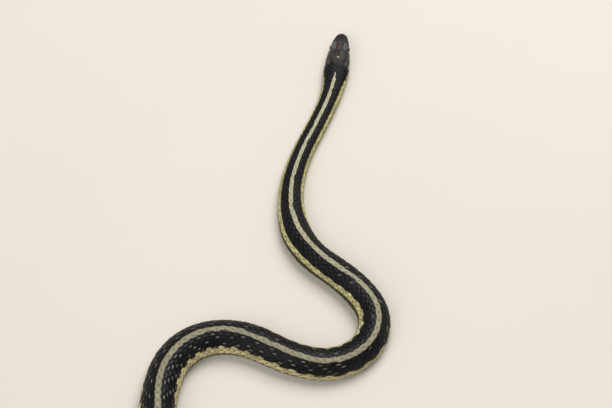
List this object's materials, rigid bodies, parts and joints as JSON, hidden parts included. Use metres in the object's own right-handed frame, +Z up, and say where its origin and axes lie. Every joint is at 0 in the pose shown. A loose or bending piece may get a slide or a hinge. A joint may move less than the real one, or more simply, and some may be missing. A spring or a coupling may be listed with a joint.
{
  "type": "garter snake",
  "caption": "Life-size striped garter snake lying in loose S bends on its belly, head forward, long thin tail, fixed pose.",
  "frame": {"origin": "on the floor, under the middle of the animal's bounding box", "axes": "+Z up; +Y the long way of the pose, with the head at the +Y end and the tail at the -Y end; +X to the right seen from above with the head up"},
  "size_m": [0.1257, 0.5222, 0.0152],
  "materials": {
    "scales": "glossy black scales with a cream stripe along the back and a yellow-green one on each side",
    "head_shields": "smooth glossy dark shields",
    "pale_scales": "smooth pale yellow-green lips, chin and belly scutes",
    "eye": "wet gloss, dark with a round pupil and a thin bright ring"
  },
  "bodies": {
    "root": {"head": "head_shields", "lower_jaw": "pale_scales", "eye_left": "eye", "eye_right": "eye", "neck": "scales", "torso_1": "scales", "torso_2": "scales", "torso_3": "scales", "torso_4": "scales", "torso_5": "scales", "torso_6": "scales", "torso_7": "scales", "torso_8": "scales", "torso_9": "scales", "torso_10": "scales", "torso_11": "scales", "tail_1": "scales", "tail_2": "scales", "tail_3": "scales"}
  },
  "joints": []
}
